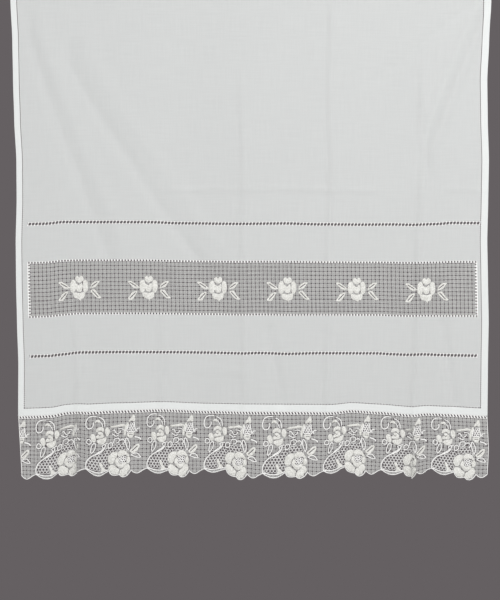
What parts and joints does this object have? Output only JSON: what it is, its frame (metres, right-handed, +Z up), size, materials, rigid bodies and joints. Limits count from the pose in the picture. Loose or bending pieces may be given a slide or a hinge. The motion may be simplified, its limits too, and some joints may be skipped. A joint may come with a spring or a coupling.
{
  "type": "sheer curtain panel",
  "caption": "Sheer voile curtain panel, hung flat, with drawn-thread rows, a net insert worked with roses and a scalloped lace edging.",
  "frame": {"origin": "middle of the curtain's top edge, where it is held up", "axes": "+Z up, the curtain hangs down from the origin; its front faces -Y and +X is to the right seen from the front"},
  "size_m": [1.0255, 0.0186, 1.1018],
  "materials": {
    "voile": "sheer woven cotton",
    "lace": "cotton net and lace"
  },
  "bodies": {
    "root": {"voile_panel": "voile", "lace_insert": "lace", "lace_edging": "lace"}
  },
  "joints": []
}
